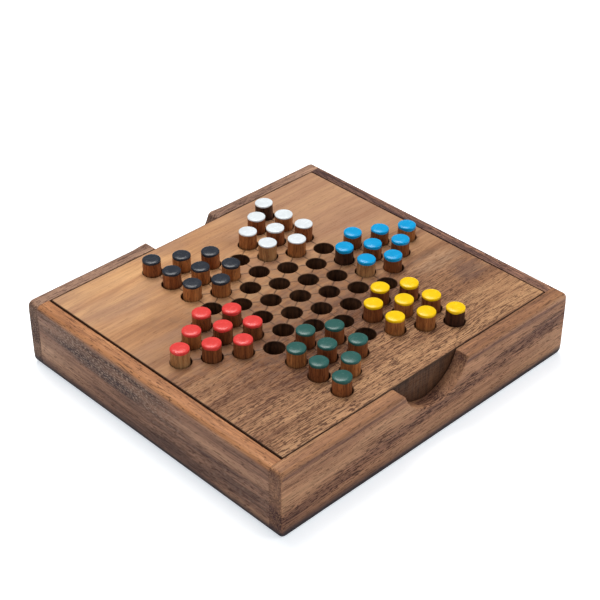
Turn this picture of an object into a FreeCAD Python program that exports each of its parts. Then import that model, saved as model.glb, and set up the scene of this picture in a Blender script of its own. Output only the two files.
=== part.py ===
"""Chinese checkers board: a lidded wooden box whose lid is the playing board, with forty-eight loose pegs.

The frame: millimetres, +Z up, X along the two notched walls. The origin is at the middle of the
underside. The tray is four walls round a base, with four ledge strips inside that carry the board.
The board lifts straight up, and every peg lifts straight up out of its blind hole.

The seventy-three holes are a six-pointed star of rows parallel to Y, spaced so that each hole is one
pitch from its neighbours. The same star is met again when it is turned by 60 degrees.
"""

import FreeCAD, Part
import os
import Sketcher

os.makedirs("parts", exist_ok=True)
doc = FreeCAD.newDocument("ChineseCheckers")

# ---------------------------------------------------------------------------------- driving dimensions

SIZES = {
    "box_length": 180,
    "box_width": 166,
    "box_height": 34,
    "wall_thickness": 7,
    "outer_round": 2.2,
    "notch_radius": 20.5,
    "notch_depth": 15,
    "notch_offset": 1.2,
    "notch_end_round": 2,
    "base_thickness": 4,
    "board_thickness": 19,
    "board_gap_left": 0.9,
    "board_gap_right": 0.4,
    "board_gap_side": 0.4,
    "board_edge_chamfer": 0.4,
    "ledge_depth": 4,
    "star_centre_x": 0.9,
    "star_centre_y": -0.3,
    "hole_pitch": 13.65,
    "hole_diameter": 10,
    "hole_depth": 10,
    "line_width": 0.5,
    "line_depth": 0.25,
    "peg_diameter": 8.8,
    "peg_length": 18,
    "peg_top_round": 0.8,
    "peg_foot_chamfer": 0.4,
    "cut_over": 1,
}

# Holes in each row of the star, from its -X tip to its +X tip.
STAR_ROWS = (1, 2, 3, 10, 9, 8, 7, 8, 9, 10, 3, 2, 1)
MIDDLE_ROW = len(STAR_ROWS) // 2

# The direction of each colour's star arm in degrees, and the rows of pegs in an arm:
# (rows out from the middle, pegs in that row).
ARMS = {"blue": 0, "white": 60, "black": 120, "red": 180, "green": 240, "yellow": 300}
ARM_ROWS = ((3, 2), (4, 3), (5, 2), (6, 1))

# The three directions of the scored lines, in degrees from the rows.
LINE_TURNS = (0, 60, 120)

sheet = doc.addObject("Spreadsheet::Sheet", "Sizes")
for line, (word, size) in enumerate(SIZES.items(), start=1):
    sheet.set(f"A{line}", word)
    sheet.set(f"B{line}", str(size))
    sheet.setAlias(f"B{line}", word)
doc.recompute()


# ---------------------------------------------------------------------------------- modelling helpers

def bind(item, **rules):
    """Binds properties of an object to expressions; a double underscore stands for a dot in a path."""
    for path, rule in rules.items():
        item.setExpression(path.replace("__", "."), rule)


def place(item, x="0", y="0", z="0"):
    """Binds the three coordinates of an object's Placement."""
    bind(item, Placement__Base__x=x, Placement__Base__y=y, Placement__Base__z=z)


def new_body(node):
    """A PartDesign body whose label is its node name."""
    body = doc.addObject("PartDesign::Body", node)
    body.Label = node
    return body


def new_sketch(body, plane_role):
    """A sketch on one of the body's own origin planes."""
    sketch = body.newObject("Sketcher::SketchObject", body.Name + "_outline")
    plane = next(f for f in body.Origin.OriginFeatures if f.Role == plane_role)
    sketch.AttachmentSupport = [(plane, "")]
    sketch.MapMode = "FlatFace"
    return sketch


def dimension(sketch, word, rule, kind, *geometry):
    """Adds a named dimension at its drawn value and binds it to a rule."""
    index = sketch.addConstraint(Sketcher.Constraint(kind, *geometry))
    sketch.renameConstraint(index, word)
    sketch.setExpression("Constraints." + word, rule)


def pad(body, sketch, length_rule):
    """Pads a sketch along its own normal."""
    feature = body.newObject("PartDesign::Pad", body.Name + "_pad")
    feature.Profile = sketch
    bind(feature, Length=length_rule)
    doc.recompute()
    return feature


def edges_where(feature, test):
    """Names of the feature's edges whose bounding box passes the test."""
    return [f"Edge{n}" for n, edge in enumerate(feature.Shape.Edges, start=1) if test(edge.BoundBox)]


def dress(body, kind, base, test, **rules):
    """A fillet or chamfer on the edges of base that pass the test."""
    feature = body.newObject("PartDesign::" + kind, body.Name + "_" + kind.lower())
    feature.Base = (base, edges_where(base, test))
    bind(feature, **rules)
    doc.recompute()
    return feature


def near(a, b):
    """Whether two coordinates are the same."""
    return abs(a - b) < 1e-4


def box(node, length, width, height, x, y, z):
    """A Part box with bound sizes and a bound lowest corner."""
    block = doc.addObject("Part::Box", node)
    block.Label = node
    bind(block, Length=length, Width=width, Height=height)
    place(block, x, y, z)
    return block


def rectangle(sketch, length_rule, width_rule, length, width):
    """A rectangle centred on the sketch's origin."""
    corners = [
        FreeCAD.Vector(x * length / 2, y * width / 2, 0)
        for x, y in ((-1, -1), (1, -1), (1, 1), (-1, 1))
    ]
    for start, end in zip(corners, corners[1:] + corners[:1]):
        sketch.addGeometry(Part.LineSegment(start, end))
    for side in range(4):
        sketch.addConstraint(Sketcher.Constraint("Coincident", side, 2, (side + 1) % 4, 1))
    for side, direction in enumerate(("Horizontal", "Vertical", "Horizontal", "Vertical")):
        sketch.addConstraint(Sketcher.Constraint(direction, side))
    sketch.addConstraint(Sketcher.Constraint("Symmetric", 0, 1, 2, 1, -1, 1))
    dimension(sketch, "length", length_rule, "DistanceX", 0, 1, 0, 2, length)
    dimension(sketch, "width", width_rule, "DistanceY", 1, 1, 1, 2, width)


# ---------------------------------------------------------------------------------- the tray's walls

def notched_outline(sketch):
    """The elevation of a notched wall: a rectangle whose top edge dips into a round finger scoop.

    The scoop is one arc. Its two ends roll into the top edge by smaller arcs that are tangent to both.
    """
    half = SIZES["box_length"] / 2
    top = SIZES["box_height"]
    centre_x = SIZES["notch_offset"]
    scoop = SIZES["notch_radius"]
    roll = SIZES["notch_end_round"]
    centre_z = top - SIZES["notch_depth"] + scoop
    roll_z = top - roll
    reach = ((scoop + roll) ** 2 - (centre_z - roll_z) ** 2) ** 0.5
    touch_x = reach * scoop / (scoop + roll)
    touch_z = centre_z - (centre_z - roll_z) * scoop / (scoop + roll)
    inner_left = FreeCAD.Vector(centre_x - touch_x, touch_z, 0)
    inner_right = FreeCAD.Vector(centre_x + touch_x, touch_z, 0)
    outer_left = FreeCAD.Vector(centre_x - reach, top, 0)
    outer_right = FreeCAD.Vector(centre_x + reach, top, 0)
    lowest = FreeCAD.Vector(centre_x, centre_z - scoop, 0)
    shoulder = roll * 0.5 ** 0.5
    left_mid = FreeCAD.Vector(centre_x - reach + shoulder, roll_z + shoulder, 0)
    right_mid = FreeCAD.Vector(centre_x + reach - shoulder, roll_z + shoulder, 0)
    foot_left = FreeCAD.Vector(-half, 0, 0)
    foot_right = FreeCAD.Vector(half, 0, 0)
    head_left = FreeCAD.Vector(-half, top, 0)
    head_right = FreeCAD.Vector(half, top, 0)

    bottom = sketch.addGeometry(Part.LineSegment(foot_left, foot_right))
    right = sketch.addGeometry(Part.LineSegment(foot_right, head_right))
    top_right = sketch.addGeometry(Part.LineSegment(head_right, outer_right))
    roll_right = sketch.addGeometry(Part.Arc(outer_right, right_mid, inner_right))
    dip = sketch.addGeometry(Part.Arc(inner_right, lowest, inner_left))
    roll_left = sketch.addGeometry(Part.Arc(inner_left, left_mid, outer_left))
    top_left = sketch.addGeometry(Part.LineSegment(outer_left, head_left))
    left = sketch.addGeometry(Part.LineSegment(head_left, foot_left))

    # An arc's point 1 is its anticlockwise start and its point 2 is its anticlockwise end.
    for one, one_end, other, other_end in (
        (bottom, 2, right, 1),
        (right, 2, top_right, 1),
        (top_left, 2, left, 1),
        (left, 2, bottom, 1),
    ):
        sketch.addConstraint(Sketcher.Constraint("Coincident", one, one_end, other, other_end))
    for one, one_end, other, other_end in (
        (top_right, 2, roll_right, 1),
        (roll_right, 2, dip, 2),
        (dip, 1, roll_left, 1),
        (roll_left, 2, top_left, 1),
    ):
        sketch.addConstraint(Sketcher.Constraint("Tangent", one, one_end, other, other_end))
    for side in (bottom, top_right, top_left):
        sketch.addConstraint(Sketcher.Constraint("Horizontal", side))
    for side in (right, left):
        sketch.addConstraint(Sketcher.Constraint("Vertical", side))
    sketch.addConstraint(Sketcher.Constraint("Symmetric", bottom, 1, bottom, 2, -1, 1))
    sketch.addConstraint(Sketcher.Constraint("Equal", roll_right, roll_left))
    dimension(sketch, "length", "Sizes.box_length", "DistanceX", bottom, 1, bottom, 2, 2 * half)
    dimension(sketch, "height_right", "Sizes.box_height", "DistanceY", right, 1, right, 2, top)
    dimension(sketch, "height_left", "Sizes.box_height", "DistanceY", left, 2, left, 1, top)
    dimension(sketch, "end_round", "Sizes.notch_end_round", "Radius", roll_right, roll)
    dimension(sketch, "scoop", "Sizes.notch_radius", "Radius", dip, scoop)
    dimension(sketch, "scoop_x", "Sizes.notch_offset", "DistanceX", -1, 1, dip, 3, centre_x)
    scoop_rule = "Sizes.box_height - Sizes.notch_depth + Sizes.notch_radius"
    dimension(sketch, "scoop_z", scoop_rule, "DistanceY", -1, 1, dip, 3, centre_z)


def notched_wall(node, turn, inner_face_y):
    """A full-length wall with a finger notch, its outer edges rounded. It is drawn as the front wall."""
    body = new_body(node)
    sketch = new_sketch(body, "XZ_Plane")
    notched_outline(sketch)
    wall = pad(body, sketch, "Sizes.wall_thickness")
    outer_y = wall.Shape.BoundBox.YMin
    end_x = SIZES["box_length"] / 2

    def to_round(extent):
        on_outer_face = near(extent.YMin, outer_y) and near(extent.YMax, outer_y)
        on_end = near(extent.XMin, extent.XMax) and near(abs(extent.XMax), end_x)
        along_y = not near(extent.YMin, extent.YMax)
        return on_outer_face or (on_end and along_y)

    dress(body, "Fillet", wall, to_round, Radius="Sizes.outer_round")
    body.Placement = FreeCAD.Placement(
        FreeCAD.Vector(0, 0, 0), FreeCAD.Rotation(FreeCAD.Vector(0, 0, 1), turn)
    )
    place(body, y=inner_face_y)
    return body


def plain_wall(node, side):
    """A short wall between the notched walls, on side -1 or +1 of X, its outer long edges rounded."""
    body = new_body(node)
    sketch = new_sketch(body, "XY_Plane")
    thickness = SIZES["wall_thickness"]
    length = SIZES["box_width"] - 2 * thickness
    length_rule = "Sizes.box_width - 2 * Sizes.wall_thickness"
    rectangle(sketch, "Sizes.wall_thickness", length_rule, thickness, length)
    wall = pad(body, sketch, "Sizes.box_height")

    def to_round(extent):
        on_outer_face = near(extent.XMin, extent.XMax) and near(extent.XMax, side * thickness / 2)
        return on_outer_face and near(extent.ZMin, extent.ZMax)

    dress(body, "Fillet", wall, to_round, Radius="Sizes.outer_round")
    place(body, x=f"{side} * (Sizes.box_length - Sizes.wall_thickness) / 2")
    return body


walls = [
    notched_wall("front_wall", 0, "-(Sizes.box_width / 2 - Sizes.wall_thickness)"),
    notched_wall("back_wall", 180, "Sizes.box_width / 2 - Sizes.wall_thickness"),
    plain_wall("left_wall", -1),
    plain_wall("right_wall", 1),
]

# ---------------------------------------------------------------------------------- base and ledges

inside_length = "(Sizes.box_length - 2 * Sizes.wall_thickness)"
inside_width = "(Sizes.box_width - 2 * Sizes.wall_thickness)"
ledge_height = "Sizes.box_height - Sizes.board_thickness - Sizes.base_thickness"
end_ledge_width = f"{inside_width} - 2 * Sizes.ledge_depth"

base = box(
    "base_panel", inside_length, inside_width, "Sizes.base_thickness",
    f"-{inside_length} / 2", f"-{inside_width} / 2", "0",
)
ledges = [
    box(
        "front_ledge", inside_length, "Sizes.ledge_depth", ledge_height,
        f"-{inside_length} / 2", f"-{inside_width} / 2", "Sizes.base_thickness",
    ),
    box(
        "back_ledge", inside_length, "Sizes.ledge_depth", ledge_height,
        f"-{inside_length} / 2", f"{inside_width} / 2 - Sizes.ledge_depth", "Sizes.base_thickness",
    ),
    box(
        "left_ledge", "Sizes.ledge_depth", end_ledge_width, ledge_height,
        f"-{inside_length} / 2", f"-{inside_width} / 2 + Sizes.ledge_depth", "Sizes.base_thickness",
    ),
    box(
        "right_ledge", "Sizes.ledge_depth", end_ledge_width, ledge_height,
        f"{inside_length} / 2 - Sizes.ledge_depth", f"-{inside_width} / 2 + Sizes.ledge_depth",
        "Sizes.base_thickness",
    ),
]

# ---------------------------------------------------------------------------------- the playing board

def board_blank():
    """The board before it is drilled: a thick slab whose top edges are broken by a small chamfer."""
    body = new_body("board_blank")
    sketch = new_sketch(body, "XY_Plane")
    length = SIZES["box_length"] - 2 * SIZES["wall_thickness"]
    length -= SIZES["board_gap_left"] + SIZES["board_gap_right"]
    width = SIZES["box_width"] - 2 * SIZES["wall_thickness"] - 2 * SIZES["board_gap_side"]
    rectangle(
        sketch,
        f"{inside_length} - Sizes.board_gap_left - Sizes.board_gap_right",
        f"{inside_width} - 2 * Sizes.board_gap_side",
        length,
        width,
    )
    slab = pad(body, sketch, "Sizes.board_thickness")
    thickness = SIZES["board_thickness"]
    dress(body, "Chamfer", slab, lambda extent: near(extent.ZMin, thickness), Size="Sizes.board_edge_chamfer")
    place(
        body,
        x="(Sizes.board_gap_left - Sizes.board_gap_right) / 2",
        z="Sizes.box_height - Sizes.board_thickness",
    )
    return body


def star_point(row, along, turn=0):
    """Rules for x and y of a point of the star: rows out from the middle and pitches along the row,
    in a star turned by so many degrees."""
    out = f"{row} * cos(30 deg)"
    x = f"Sizes.star_centre_x + Sizes.hole_pitch * (cos({turn} deg) * {out} - sin({turn} deg) * {along})"
    y = f"Sizes.star_centre_y + Sizes.hole_pitch * (sin({turn} deg) * {out} + cos({turn} deg) * {along})"
    return x, y


def along_row(count):
    """Places of the holes in a row of so many, in pitches from its middle."""
    return [step - (count - 1) / 2 for step in range(count)]


def compound(name, members):
    """One Part compound of separate shapes."""
    group = doc.addObject("Part::Compound", name)
    group.Links = members
    return group


def hole_tools():
    """A cylinder for every blind hole."""
    tools = []
    for index, count in enumerate(STAR_ROWS):
        for along in along_row(count):
            drill = doc.addObject("Part::Cylinder", "hole")
            bind(drill, Radius="Sizes.hole_diameter / 2", Height="Sizes.hole_depth + Sizes.cut_over")
            x, y = star_point(index - MIDDLE_ROW, along)
            place(drill, x, y, "Sizes.box_height - Sizes.hole_depth")
            tools.append(drill)
    return compound("holes", tools)


def line_tools(turn):
    """The scored lines of one direction: a thin cutter along each row, from its first hole to its last.
    They are drawn about the star's centre, and the compound is turned and set there."""
    tools = []
    for index, count in enumerate(STAR_ROWS):
        if count == 1:
            continue
        out = index - MIDDLE_ROW
        score = doc.addObject("Part::Box", "score")
        bind(
            score,
            Length="Sizes.line_width",
            Width=f"Sizes.hole_pitch * {count - 1}",
            Height="Sizes.line_depth + Sizes.cut_over",
        )
        place(
            score,
            f"Sizes.hole_pitch * {out} * cos(30 deg) - Sizes.line_width / 2",
            f"-Sizes.hole_pitch * {(count - 1) / 2}",
            "Sizes.box_height - Sizes.line_depth",
        )
        tools.append(score)
    group = compound(f"lines_{turn}", tools)
    turned = FreeCAD.Rotation(FreeCAD.Vector(0, 0, 1), turn)
    group.Placement = FreeCAD.Placement(FreeCAD.Vector(0, 0, 0), turned)
    place(group, "Sizes.star_centre_x", "Sizes.star_centre_y")
    return group


def cut(name, solid, tool):
    """Cuts a tool out of a solid."""
    result = doc.addObject("Part::Cut", name)
    result.Base = solid
    result.Tool = tool
    return result


board = cut("drilled_board", board_blank(), hole_tools())
for turn in LINE_TURNS:
    board = cut(f"scored_board_{turn}", board, line_tools(turn))
board.Label = "playing_board"

# ---------------------------------------------------------------------------------- the pegs

def peg(node, x, y):
    """A dowel that stands on the bottom of its hole, its top edge rounded and its foot chamfered."""
    body = new_body(node)
    sketch = new_sketch(body, "XY_Plane")
    radius = SIZES["peg_diameter"] / 2
    round_end = Part.Circle(FreeCAD.Vector(0, 0, 0), FreeCAD.Vector(0, 0, 1), radius)
    circle = sketch.addGeometry(round_end)
    sketch.addConstraint(Sketcher.Constraint("Coincident", circle, 3, -1, 1))
    dimension(sketch, "radius", "Sizes.peg_diameter / 2", "Radius", circle, radius)
    dowel = pad(body, sketch, "Sizes.peg_length")
    top = SIZES["peg_length"]
    rounded = dress(
        body, "Fillet", dowel, lambda extent: near(extent.ZMin, top), Radius="Sizes.peg_top_round"
    )
    dress(
        body, "Chamfer", rounded, lambda extent: near(extent.ZMax, 0), Size="Sizes.peg_foot_chamfer"
    )
    place(body, x, y, "Sizes.box_height - Sizes.hole_depth")
    return body


pegs = []
for colour, turn in ARMS.items():
    spots = [(row, along) for row, count in ARM_ROWS for along in along_row(count)]
    for number, (row, along) in enumerate(spots, start=1):
        x, y = star_point(row, along, turn)
        pegs.append(peg(f"peg_{colour}_{number}", x, y))

# ---------------------------------------------------------------------------------- check and write

doc.recompute()
failed = [o.Label for o in doc.Objects if "Invalid" in o.State or "Error" in o.State]
assert not failed, failed

nodes = walls + [base] + ledges + [board] + pegs
for item in nodes:
    shape = item.Shape
    assert not shape.isNull() and shape.isValid() and len(shape.Solids) == 1, item.Label

for item in nodes:
    item.Shape.exportStep(f"parts/{item.Label}.step")
print(len(nodes), "sub-parts, board volume", round(board.Shape.Volume), "cubic mm")
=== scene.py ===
"""Looks of a Chinese checkers box: a solid wood tray, a drilled and scored playing board, and loose pegs.

Shapes are worked out in millimetres in the frame of the CAD model and turned into metres as they
become meshes. X runs along the notched walls, Z is up.
"""

import math

import bmesh
import bpy
import numpy as np
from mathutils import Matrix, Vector


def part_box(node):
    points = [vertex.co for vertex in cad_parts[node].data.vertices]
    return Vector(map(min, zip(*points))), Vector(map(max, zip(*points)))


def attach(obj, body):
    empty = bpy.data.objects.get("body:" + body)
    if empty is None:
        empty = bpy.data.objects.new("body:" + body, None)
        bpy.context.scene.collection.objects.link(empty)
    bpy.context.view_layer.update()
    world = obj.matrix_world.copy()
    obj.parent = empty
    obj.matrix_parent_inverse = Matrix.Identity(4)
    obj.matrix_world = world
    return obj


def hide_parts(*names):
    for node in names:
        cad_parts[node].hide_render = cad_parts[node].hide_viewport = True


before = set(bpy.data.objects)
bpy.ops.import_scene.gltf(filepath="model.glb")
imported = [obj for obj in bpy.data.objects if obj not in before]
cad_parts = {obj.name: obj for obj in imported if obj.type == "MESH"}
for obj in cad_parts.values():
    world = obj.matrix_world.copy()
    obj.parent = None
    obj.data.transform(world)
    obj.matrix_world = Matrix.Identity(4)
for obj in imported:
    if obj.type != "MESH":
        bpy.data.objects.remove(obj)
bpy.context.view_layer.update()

MM = 0.001
RNG = np.random.default_rng(73)


# ---------- sizes, in millimetres

def node_box(node):
    """A node's lowest and highest corners, in millimetres."""
    low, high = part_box(node)
    return np.array(low) / MM, np.array(high) / MM


COLOURS = ("blue", "white", "black", "red", "green", "yellow")
PEGS_PER_COLOUR = 8
PEG_NODES = [f"peg_{colour}_{n}" for colour in COLOURS for n in range(1, PEGS_PER_COLOUR + 1)]

FRONT_LOW, FRONT_HIGH = node_box("front_wall")
BOARD_LOW, BOARD_HIGH = node_box("playing_board")
PEG_BOXES = {node: node_box(node) for node in PEG_NODES}
PEG_SPOTS = {node: (low[:2] + high[:2]) / 2 for node, (low, high) in PEG_BOXES.items()}

BOX_HALF_LENGTH = FRONT_HIGH[0]
TRAY_TOP = FRONT_HIGH[2]
OUTER_ROUND = 2.2
CORNER_ROUND = 2.7
EASED = 0.22
FLAT_RING = 0.3
TOUCHING = 1e-6
STRAIGHT_STEP = 3.0

NOTCH_RADIUS = 20.5
NOTCH_DEPTH = 15.0
NOTCH_OFFSET = 1.2
NOTCH_ROLL = 2.9
NOTCH_CRISP = 0.9

STAR_CENTRE = np.mean(list(PEG_SPOTS.values()), axis=0)
STAR_ROWS = (1, 2, 3, 10, 9, 8, 7, 8, 9, 10, 3, 2, 1)
PITCH = np.linalg.norm(PEG_SPOTS["peg_blue_8"] - PEG_SPOTS["peg_blue_7"])
HOLE_RADIUS = 4.85
HOLE_FLOOR = PEG_BOXES["peg_blue_1"][0][2]
LINE_HALF_WIDTH = 0.34
LINE_DEPTH = 0.25
SLAB_CORNER = 1.2
SLAB_ROUNDS = (0.5, 0.45)
# Share of painted shade on the playing board's sawn sides.
SIDE_SHADE = 0.8

PEG_RADIUS = (PEG_BOXES["peg_blue_1"][1][0] - PEG_BOXES["peg_blue_1"][0][0]) / 2
PEG_LENGTH = PEG_BOXES["peg_blue_1"][1][2] - HOLE_FLOOR


# ---------- mesh helpers

def new_piece(name, points, faces, materials, face_materials=None, masks=None):
    """An object from points in millimetres and faces of any size, smooth shaded.

    masks are named values kept on the points, for the materials to read.
    """
    mesh = bpy.data.meshes.new(name)
    mesh.from_pydata((points * MM).tolist(), [], faces)
    for material in materials:
        mesh.materials.append(material)
    if face_materials is not None:
        mesh.polygons.foreach_set("material_index", face_materials)
    for word, values in (masks or {}).items():
        mesh.attributes.new(word, "FLOAT", "POINT").data.foreach_set("value", np.ravel(values))
    mesh.shade_smooth()
    piece = bpy.data.objects.new(name, mesh)
    bpy.context.scene.collection.objects.link(piece)
    return piece


def ring_faces(rings, columns):
    """Quads between closed rings that are stacked one after the other, each with so many columns."""
    first = np.arange(rings - 1)[:, None] * columns
    here = np.arange(columns)[None, :]
    there = (here + 1) % columns
    quads = np.stack([first + here, first + there, first + columns + there, first + columns + here], -1)
    return quads.reshape(-1, 4)


def corner_arc(centre, radius, start, stop, steps, hollow=False):
    """Points of an arc and the unit vectors from each into the solid.

    A point is centre + radius * (cos a, sin a) for a from start to stop, in degrees. The solid lies
    towards the centre, or away from it on a hollow arc.
    """
    angle = np.radians(np.linspace(start, stop, steps + 1))
    out = np.stack([np.cos(angle), np.sin(angle)], -1)
    return centre + radius * out, out if hollow else -out


def straight(start, stop, steps):
    """Points between start and stop, both left out, with the solid on the left of the way."""
    share = np.linspace(0, 1, steps + 1)[1:-1, None]
    way = (np.array(stop) - start) / np.linalg.norm(np.array(stop) - start)
    points = start + share * (np.array(stop) - start)
    return points, np.broadcast_to([-way[1], way[0]], points.shape)


def joined(stretches):
    """One closed outline from stretches of (points, inward vectors). Stretches that touch share a point,
    and a gap between two is filled with a straight."""
    points, inward = [], []
    for (spots, ways), (following, _) in zip(stretches, stretches[1:] + stretches[:1]):
        gap = np.linalg.norm(following[0] - spots[-1])
        own = slice(None, -1) if gap < TOUCHING else slice(None)
        points.append(spots[own])
        inward.append(ways[own])
        if gap > TOUCHING:
            between = straight(spots[-1], following[0], max(2, round(gap / STRAIGHT_STEP)))
            points.append(between[0])
            inward.append(between[1])
    return np.concatenate(points), np.concatenate(inward)


def rounded_rectangle(low, high, radii, steps=6):
    """Outline of a rectangle whose corners, anticlockwise from the lowest, have their own radii."""
    (x0, y0), (x1, y1) = low, high
    corners = ((x0, y0, 1, 1, 180), (x1, y0, -1, 1, 270), (x1, y1, -1, -1, 0), (x0, y1, 1, -1, 90))
    arcs = []
    for (x, y, right, up, start), radius in zip(corners, radii):
        centre = np.array([x + right * radius, y + up * radius])
        arcs.append(corner_arc(centre, radius, start, start + 90, steps))
    return joined(arcs)


def rounded_ends(start, stop, start_round, stop_round, steps=6):
    """Stations of (distance, inset) for a bar whose two ends roll over by quarter circles.

    At an angle a of the quarter circle the distance is radius * (1 - cos a) from the end, and the
    outline is drawn in by radius * (1 - sin a). One more station inside each end keeps its flat flat.
    """
    angle = np.radians(np.linspace(0, 90, steps + 1))
    depth, inset = 1 - np.cos(angle), 1 - np.sin(angle)
    near, far = (
        [(end, radius + FLAT_RING), *zip(end + way * radius * depth, radius * inset)]
        for end, way, radius in ((start, 1, start_round), (stop, -1, stop_round))
    )
    return np.array(near + far[::-1])


def carried(outline, inward, stations, softness):
    """Rings of points: an outline carried straight along, drawn in by an inset at each station.

    ring[i, j] = (outline[j] + inward[j] * inset[i] * softness[j], distance[i]), where a station's
    distance from the nearer end of the bar is also scaled by softness[j], so that softness scales the
    radius of the rolled edge at that point of the outline.
    """
    distance, inset = stations.T
    nearer = np.where(np.arange(len(distance)) < len(distance) / 2, distance[0], distance[-1])
    along = nearer[:, None] + (distance - nearer)[:, None] * softness
    flat = outline[None] + inward[None] * (inset[:, None] * softness)[..., None]
    return np.concatenate([flat, along[..., None]], -1)


def bar(name, outline, stations, materials, upright=False, turned=False, softness=1.0):
    """A closed bar. Its outline is in X and Y and it is carried along Z, or if it is upright, its outline
    is in X and Z and it is carried along -Y. A turned bar is then turned half round about Z.
    """
    rings = carried(*outline, stations, np.broadcast_to(softness, len(outline[0])))
    count, columns = rings.shape[:2]
    points = rings.reshape(-1, 3)
    if upright:
        points = points[:, [0, 2, 1]] * [1, -1, 1]
    if turned:
        points = points * [-1, -1, 1]
    faces = ring_faces(count, columns).tolist()
    faces.append(list(range(columns))[::-1])
    faces.append(list(range((count - 1) * columns, count * columns)))
    return new_piece(name, points, faces, materials)


def gentle_wave(count, amount):
    """Values round 1 that rise and fall smoothly along a closed outline, as hand sanding leaves an
    edge: a sum of sine waves of 3 to 11 turns with random heights and phases."""
    place = np.linspace(0, 2 * math.pi, count, endpoint=False)
    turns = np.arange(3, 12)
    heights = RNG.normal(size=len(turns)) / np.sqrt(turns)
    phases = RNG.uniform(0, 2 * math.pi, len(turns))
    wave = (heights * np.sin(place[:, None] * turns + phases)).sum(1)
    return 1 + amount * wave / np.abs(wave).max()


# ---------- shader helpers

def link_or_set(tree, socket, value):
    """Links a socket to an output, or sets it to a plain value."""
    if isinstance(value, bpy.types.NodeSocket):
        tree.links.new(value, socket)
    elif isinstance(value, (tuple, list)) and len(value) == 3 and len(socket.default_value) == 4:
        socket.default_value = (*value, 1.0)
    else:
        socket.default_value = value


def add(tree, kind, inputs=None, **settings):
    """A node with its settings and inputs, whose inputs are given by name or number."""
    node = tree.nodes.new("ShaderNode" + kind)
    for word, value in settings.items():
        setattr(node, word, value)
    for word, value in (inputs or {}).items():
        link_or_set(tree, node.inputs[word], value)
    return node


def calc(tree, operation, *values, clamp=False):
    """A Math node's result."""
    node = add(tree, "Math", dict(enumerate(values)), operation=operation, use_clamp=clamp)
    return node.outputs[0]


def times(tree, first, second, clamp=False):
    """Two values multiplied."""
    return calc(tree, "MULTIPLY", first, second, clamp=clamp)


def vector_calc(tree, operation, *values):
    """A Vector Math node's vector."""
    return add(tree, "VectorMath", dict(enumerate(values)), operation=operation).outputs[0]


def length_of(tree, vector):
    """A vector's length."""
    return add(tree, "VectorMath", {0: vector}, operation="LENGTH").outputs["Value"]


def summed(tree, base, *terms):
    """A base value plus each mask times its weight."""
    for mask, weight in terms:
        base = calc(tree, "MULTIPLY_ADD", mask, weight, base)
    return base


def remap(tree, value, from_low, from_high, to_low=0.0, to_high=1.0, smooth=False):
    """A value moved from one range to another and held inside it."""
    node = add(tree, "MapRange", {0: value, 1: from_low, 2: from_high, 3: to_low, 4: to_high})
    node.interpolation_type = "SMOOTHSTEP" if smooth else "LINEAR"
    return node.outputs[0]


def ease(tree, value, *ranges):
    """The same along a smooth step, which starts and stops gently."""
    return remap(tree, value, *ranges, smooth=True)


def blend(tree, share, first, second, mode="MIX"):
    """A colour between two colours."""
    node = add(tree, "Mix", {0: share, 6: first, 7: second}, data_type="RGBA", blend_type=mode)
    return node.outputs[2]


def multiplied(tree, colour, shade):
    """A colour multiplied by a value."""
    grey = add(tree, "CombineColor", {0: shade, 1: shade, 2: shade}).outputs[0]
    return blend(tree, 1.0, colour, grey, "MULTIPLY")


def noise(tree, vector, scale, detail=2.0, roughness=0.5, output=0):
    """A noise over a vector that is first stretched by scale, a triple. Output 1 is its colour."""
    stretched = vector_calc(tree, "MULTIPLY", vector, scale)
    settings = {"Vector": stretched, "Scale": 1.0, "Detail": detail, "Roughness": roughness}
    return add(tree, "TexNoise", settings).outputs[output]


def swing(tree, vector, scale, detail, roughness):
    """A noise that swings about 0, by up to a half either way."""
    return calc(tree, "SUBTRACT", noise(tree, vector, scale, detail, roughness), 0.5)


def new_group(name, inputs, outputs):
    """An empty shader node group with named sockets, and its input and output nodes."""
    tree = bpy.data.node_groups.new(name, "ShaderNodeTree")
    kinds = {"value": "NodeSocketFloat", "colour": "NodeSocketColor", "vector": "NodeSocketVector"}
    for in_out, sockets in (("INPUT", inputs), ("OUTPUT", outputs)):
        for word, kind in sockets.items():
            tree.interface.new_socket(word, in_out=in_out, socket_type=kinds[kind])
    return tree, tree.nodes.new("NodeGroupInput").outputs, tree.nodes.new("NodeGroupOutput").inputs


def use_group(tree, group, inputs):
    """A group placed in a material, and its outputs."""
    return add(tree, "Group", inputs, node_tree=group).outputs


def give(tree, sockets, **values):
    """Links or sets named sockets."""
    for word, value in values.items():
        link_or_set(tree, sockets[word], value)


def srgb(red, green, blue):
    """A colour given as the 0 to 255 of a colour chart, in the linear values that shaders take."""
    channels = np.array([red, green, blue]) / 255
    linear = np.where(channels <= 0.04045, channels / 12.92, ((channels + 0.055) / 1.055) ** 2.4)
    return tuple(float(value) for value in linear)


# ---------- shared surface effects

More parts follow.
